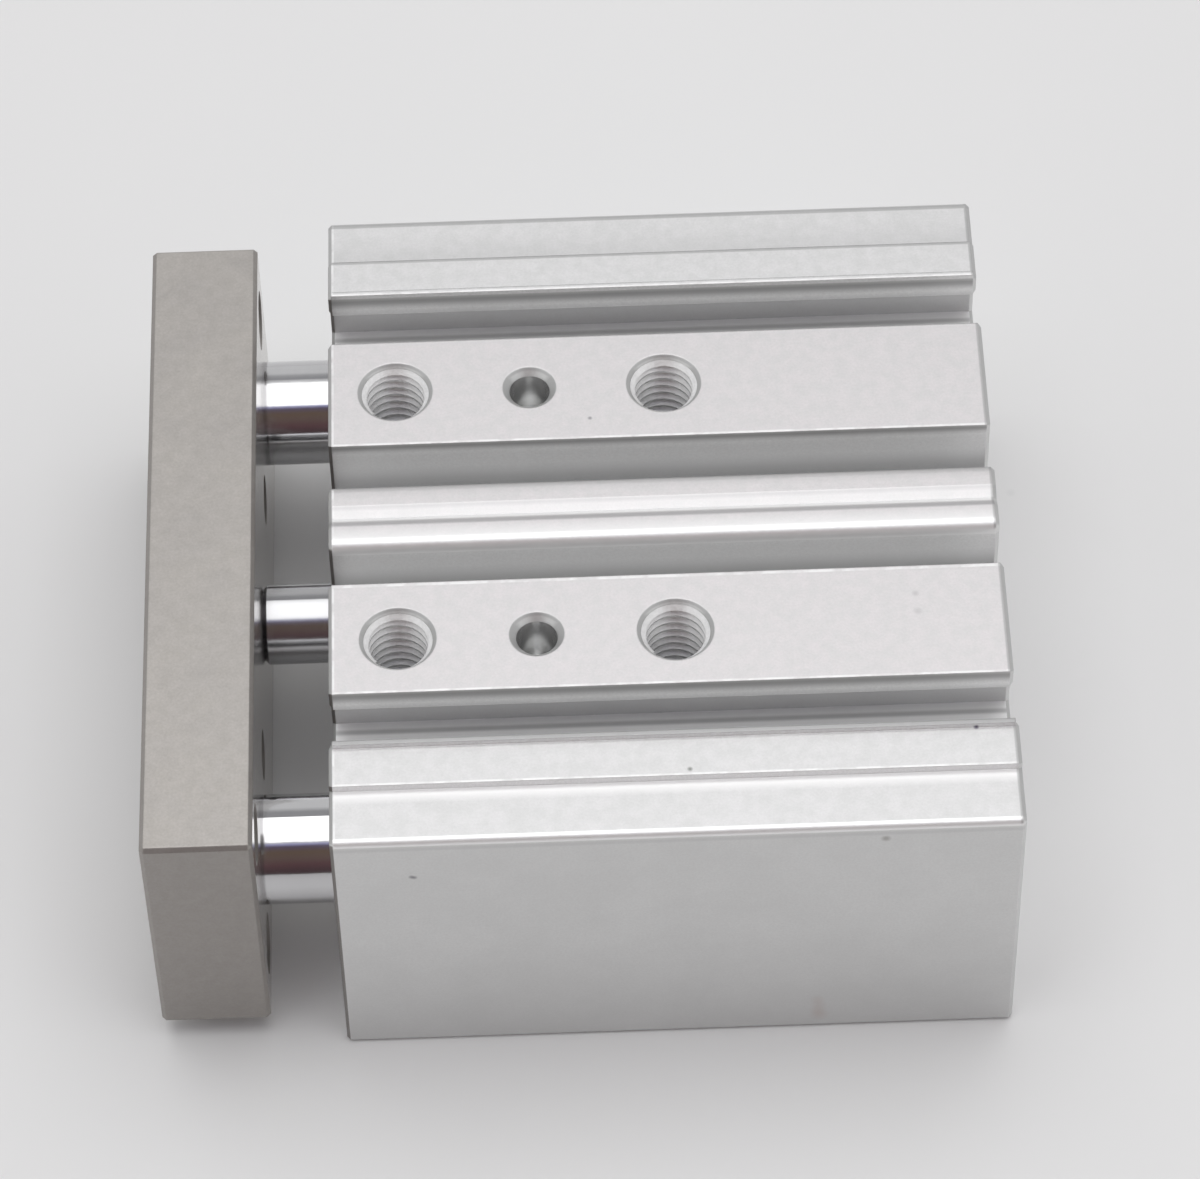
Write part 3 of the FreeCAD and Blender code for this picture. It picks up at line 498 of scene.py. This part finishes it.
def nickel_plate():
    """Satin nickel plated steel, warm grey, with a brighter ground rear face, partly its own
    finish and partly painted light.
    """
    s = Shade("nickel_plate")
    rounded, edge = s.edges(0.15 * MM)
    grain = s.noise(5200.0, 3.0, 0.65)
    patches = s.noise(1000.0, 2.0, 0.5)
    cloud = s.noise(240.0, 4.0, 0.6)
    side = s.ramp(cloud, [(0.3, (0.360, 0.341, 0.325)), (0.7, (0.395, 0.374, 0.357))])
    top = s.ramp(cloud, [(0.3, (0.464, 0.442, 0.424)), (0.7, (0.498, 0.474, 0.448))])
    # the ground rear face is paler: partly its own finish, partly painted light
    ground = s.ramp(cloud, [(0.3, (0.76, 0.74, 0.72)), (0.7, (0.80, 0.78, 0.76))])
    rear = s.span(s.axis("X", s.normal), 0.9, 0.98)
    base = s.mix(rear, s.mix(s.upward(), side, top), ground)
    base = s.mix(s.span(patches, 0.36, 0.64, 0.16, 0.0), base, (0.28, 0.26, 0.24))
    # painted highlight on the rounded edges
    base = s.mix(s.times(edge, 0.4), base, (0.56, 0.53, 0.50))
    base = s.mix(s.span(grain, 0.32, 0.68, 0.24, 0.0), base, (0.26, 0.24, 0.22))
    s.set(Base_Color=base, Metallic=0.85)
    rough = s.span(cloud, 0.3, 0.7, 0.42, 0.50)
    s.set(Roughness=s.times(rough, s.span(rear, 0.0, 1.0, 1.0, 0.45)))
    s.set(Normal=s.bump(grain, 0.010 * MM, 0.5, rounded))
    return s.material


def chrome_rod():
    """Ground and hard chromed steel, with very faint grinding lines round it."""
    s = Shade("chrome_rod")
    lines = s.noise(1.0, 3.0, 0.6, s.stretch((6000.0, 60.0, 60.0)))
    cloud = s.noise(400.0, 3.0, 0.6)
    base = s.ramp(cloud, [(0.3, (0.58, 0.58, 0.59)), (0.7, (0.605, 0.605, 0.615))])
    base = s.mix(s.span(lines, 0.35, 0.65, 0.05, 0.0), base, (0.45, 0.45, 0.46))
    # painted shade: a dark line where each rod meets the plate, darkest round the piston rod
    middle = s.span(s.math("ABSOLUTE", s.axis("Y")), 6 * MM, 8 * MM, 1.0, 0.0)
    line = s.band(s.axis("X"), PLATE_REAR, PLATE_REAR + 0.30 * MM, 0.05 * MM)
    line = s.times(line, s.span(middle, 0.0, 1.0, 0.3, 0.9))
    base = s.mix(line, base, (0.04, 0.03, 0.04))
    # the piston rod has a duller finish than the guide rods
    base = s.mix(s.times(middle, 0.45), base, (0.34, 0.34, 0.35))
    s.set(Base_Color=base, Metallic=1.0)
    s.set(Roughness=s.math("ADD", s.span(cloud, 0.3, 0.7, 0.09, 0.12), s.times(middle, 0.09)))
    s.set(Normal=s.bump(s.noise(1100.0, 2.0, 0.5), 0.020 * MM, 0.25))
    return s.material


def turned_metal(name, light, dark, rough):
    """Metal turned about a rod's axis, with fine rings on its end faces."""
    s = Shade(name)
    rounded, edge = s.edges(0.10 * MM)
    rings = s.noise(1.0, 3.0, 0.7, s.stretch((4000.0, 5000.0, 1.0), s.turned()))
    base = s.ramp(rings, [(0.35, dark), (0.65, light)])
    # painted highlight on the rounded edges
    base = s.mix(s.times(edge, 0.4), base, light)
    s.set(Base_Color=base, Metallic=1.0)
    s.set(Roughness=s.span(rings, 0.3, 0.7, rough, rough + 0.1))
    s.set(Normal=s.bump(rings, 0.004 * MM, 0.4, rounded))
    return s.material


def rubber(name, light, dark):
    """Matt rubber or bonded powder, finely mottled."""
    s = Shade(name)
    grain = s.noise(2500.0, 3.0, 0.6)
    s.set(Base_Color=s.ramp(grain, [(0.3, dark), (0.7, light)]))
    s.set(Roughness=s.span(grain, 0.3, 0.7, 0.5, 0.7))
    s.set(Normal=s.bump(grain, 0.01 * MM, 0.4))
    return s.material


# Light and dark colour of each finish; the turned ones' roughness comes last.
TURNED = {"turned_cover": ((0.78, 0.78, 0.79), (0.66, 0.66, 0.67), 0.3),
          "spring_steel": ((0.20, 0.20, 0.22), (0.12, 0.12, 0.13), 0.35),
          "bolt_steel": ((0.50, 0.50, 0.51), (0.40, 0.40, 0.41), 0.3),
          "bearing_bronze": ((0.55, 0.42, 0.27), (0.46, 0.34, 0.21), 0.4)}
RUBBERS = {"seal_rubber": ((0.04, 0.04, 0.04), (0.02, 0.02, 0.02)),
           "bumper_rubber": ((0.24, 0.14, 0.06), (0.16, 0.09, 0.04)),
           "bonded_magnet": ((0.12, 0.12, 0.12), (0.07, 0.07, 0.07))}
CUT = {"anodised_body": ("cut_aluminium", (0.97, 0.97, 0.97), (0.87, 0.87, 0.87)),
       "nickel_plate": ("cut_steel", (0.60, 0.58, 0.56), (0.48, 0.46, 0.44))}

MATERIALS = {"anodised_body": anodised_body(), "nickel_plate": nickel_plate(),
             "chrome_rod": chrome_rod()}
MATERIALS.update({name: turned_metal(name, *finish) for name, finish in TURNED.items()})
MATERIALS.update({name: rubber(name, *finish) for name, finish in RUBBERS.items()})
THREAD_FINISH = {slot: cut_metal(*finish) for slot, finish in CUT.items()}

for part in frame["record"]["subparts"]:
    slots = frame["nodes"][part["node"]].data.materials
    slots.clear()
    slots.append(MATERIALS[part["material_slot"]])


# ---------------------------------------------------------------- threads

# Threads: radius and pitch in mm. What follows is in mm too, or a share of the pitch.
M4 = (2.0, 0.7)
M5 = (2.5, 0.8)
BODY_DEPTH = 9.6        # how deep each hole is threaded
PLATE_DEPTH = 7.8
PORT_DEPTH = 4.3
THREAD_STEPS = 48       # points round one turn
THREAD_SINK = 0.02      # how far the thread's root lies in the wall
THREAD_STOP = 0.02      # how far the thread ends short of its depth
ROOT_SHARE = 0.48       # half of the thread's width at the wall
CREST_SHARE = 0.11      # half of its crest's width
CREST_HEIGHT = 0.42     # height of an internal thread, cut wide
CHAMFER = 0.3           # chamfer at the hole's mouth
HAIR = 0.004            # keeps the four corners of a cut turn apart


def thread(name, mouth, direction, size, depth, body, slot):
    """A helical ridge on the wall of a tapped hole that goes from its mouth along a direction."""
    radius, pitch = size
    along = Vector(direction).normalized()
    side = along.orthogonal().normalized()
    other = along.cross(side)
    crest = radius - CREST_HEIGHT * pitch
    root = radius + THREAD_SINK
    profile = ((root, -ROOT_SHARE), (crest, -CREST_SHARE), (crest, CREST_SHARE),
               (root, ROOT_SHARE))
    steps = int(depth / pitch * THREAD_STEPS)
    points, faces = [], []
    for step in range(steps + 1):
        angle = 2.0 * math.pi * step / THREAD_STEPS
        centre = CHAMFER + pitch * (step / THREAD_STEPS - CREST_SHARE)
        out = side * math.cos(angle) + other * math.sin(angle)
        for corner, (reach, offset) in enumerate(profile):
            # the chamfer's cone cuts the first turn, and the hole's end the last
            hair = HAIR * corner
            cone = CHAMFER + max(radius - reach, 0.0) + hair
            sunk = min(max(centre + offset * pitch, cone), depth - THREAD_STOP + hair)
            points.append((mouth + along * sunk * MM + out * reach * MM)[:])
    for step in range(steps):
        here, beyond = 4 * step, 4 * step + 4
        for corner in range(4):
            following = (corner + 1) % 4
            faces.append((here + corner, here + following, beyond + following, beyond + corner))
    faces.append((3, 2, 1, 0))
    last = 4 * steps
    faces.append((last, last + 1, last + 2, last + 3))
    mesh = bpy.data.meshes.new(name)
    mesh.from_pydata(points, [], faces)
    mesh.materials.append(THREAD_FINISH[slot])
    piece = bpy.data.objects.new(name, mesh)
    bpy.context.scene.collection.objects.link(piece)
    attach(piece, body)


for number, spot in enumerate(pattern("tapped_mounting_holes")):
    thread(f"mount_thread_{number}", spot, (0, 0, -1), M5, BODY_DEPTH, "cylinder", "anodised_body")
for number, spot in enumerate(pattern("rear_tapped_holes")):
    thread(f"rear_thread_{number}", spot, (-1, 0, 0), M4, BODY_DEPTH, "cylinder", "anodised_body")
for number, spot in enumerate(pattern("plate_tapped_holes")):
    thread(f"plate_thread_{number}", spot, (1, 0, 0), M4, PLATE_DEPTH, "slide", "nickel_plate")
for name in ("front_air_port", "rear_air_port"):
    spot = Vector(MOUNTS[name]["pos_m"])
    spot.z = body_low.z
    thread(name + "_thread", spot, (0, 0, 1), M5, PORT_DEPTH, "cylinder", "anodised_body")


# ---------------------------------------------------------------- floor, light and camera

FLOOR_HALF = 3.0            # half of the floor's side
FLOOR_DROP = 0.02 * MM      # how far it lies below the part
LAMP_PLACE = (0.0, 0.07, 0.80)
LAMP_TARGET = (0.0, 0.07, 0.0)
LAMP_SIZE = (0.7, 0.78)
LAMP_POWER = 2.5

SEEN_BACKDROP = (0.76, 0.76, 0.76)
# The room round the X axis: degrees from straight behind, up and over to the front, and colour.
ROOM = [(0, (0.77, 0.77, 0.77)), (30, (0.77, 0.77, 0.77)), (41, (0.40, 0.40, 0.41)),
        (50, (0.40, 0.40, 0.41)), (60, (0.80, 0.80, 0.80)), (110, (0.74, 0.74, 0.74)),
        (180, (0.74, 0.74, 0.74))]
# A dark opening in its front: its colours by half turns, how far it reaches to each side as
# a part of the direction's length, and the half turns over which it begins, with soft rims.
OPENING = [(0.620, (0.74, 0.74, 0.74)), (0.640, (0.47, 0.47, 0.74)),
           (0.668, (0.14, 0.11, 0.16)), (0.73, (0.165, 0.118, 0.09)),
           (0.80, (0.160, 0.113, 0.10)), (0.88, (0.135, 0.075, 0.08)),
           (0.97, (0.085, 0.055, 0.06)), (1.0, (0.10, 0.08, 0.08))]
OPENING_SIDES = (0.35, 0.50)
OPENING_START = (0.618, 0.622)


def floor():
    """A pale floor with faint clouds and flecks."""
    s = Shade("pale_floor")
    base = s.ramp(s.noise(9.0, 3.0, 0.5), [(0.3, (0.79, 0.79, 0.79)), (0.7, (0.81, 0.81, 0.81))])
    base = s.mix(s.span(s.cells(55.0), 0.012, 0.03, 0.25, 0.0), base, (0.55, 0.55, 0.56))
    s.set(Base_Color=base, Roughness=0.55)
    mesh = bpy.data.meshes.new("floor")
    corners = [(x * FLOOR_HALF, y * FLOOR_HALF, 0)
               for x, y in ((-1, -1), (1, -1), (1, 1), (-1, 1))]
    mesh.from_pydata(corners, [], [(0, 1, 2, 3)])
    mesh.materials.append(s.material)
    plane = bpy.data.objects.new("floor", mesh)
    plane.location.z = -FLOOR_DROP
    bpy.context.scene.collection.objects.link(plane)


def lamp():
    """One wide soft lamp overhead."""
    light = bpy.data.lights.new("overhead", "AREA")
    light.shape = "RECTANGLE"
    light.size, light.size_y = LAMP_SIZE
    light.energy = LAMP_POWER
    holder = bpy.data.objects.new("overhead", light)
    holder.location = LAMP_PLACE
    look = Vector(LAMP_TARGET) - Vector(LAMP_PLACE)
    holder.rotation_mode = "QUATERNION"
    holder.rotation_quaternion = look.to_track_quat("-Z", "Y")
    bpy.context.scene.collection.objects.link(holder)


def surroundings():
    """A pale room with a dark opening in front; plain pale where the camera sees it."""
    world = bpy.data.worlds.new("studio")
    s = Nodes(world)
    toward = s.coordinates["Generated"]
    turn = s.times(s.math("ARCTAN2", s.axis("Z", toward), s.axis("Y", toward)), 1.0 / math.pi)
    room = s.ramp(turn, [(degrees / 180.0, colour) for degrees, colour in ROOM])
    sideways = s.math("ABSOLUTE", s.axis("X", toward))
    opening = s.times(s.span(sideways, *OPENING_SIDES, 1.0, 0.0), s.span(turn, *OPENING_START))
    lit = s.add("ShaderNodeBackground")
    seen = s.add("ShaderNodeBackground")
    s.put(lit.inputs["Color"], s.mix(opening, room, s.ramp(turn, OPENING)))
    s.put(seen.inputs["Color"], SEEN_BACKDROP)
    choose = s.add("ShaderNodeMixShader")
    s.put(choose.inputs[0], s.add("ShaderNodeLightPath").outputs["Is Camera Ray"])
    s.put(choose.inputs[1], lit.outputs[0])
    s.put(choose.inputs[2], seen.outputs[0])
    s.put(s.add("ShaderNodeOutputWorld").inputs["Surface"], choose.outputs[0])
    bpy.context.scene.world = world


def camera():
    """The photograph's view."""
    forward = Vector(CAMERA_FORWARD).normalized()
    right = Vector(CAMERA_RIGHT)
    right = (right - forward * right.dot(forward)).normalized()
    up = right.cross(forward)
    data = bpy.data.cameras.new("camera")
    data.lens = CAMERA_LENS
    data.sensor_width = CAMERA_SENSOR
    data.sensor_fit = "HORIZONTAL"
    data.clip_start, data.clip_end = CAMERA_REACH
    eye = bpy.data.objects.new("camera", data)
    turn = Matrix((right, up, -forward)).transposed().to_4x4()
    eye.matrix_world = Matrix.Translation(CAMERA_PLACE) @ turn
    bpy.context.scene.collection.objects.link(eye)
    bpy.context.scene.camera = eye


floor()
surroundings()
lamp()
camera()
bpy.context.scene.view_settings.view_transform = "Standard"
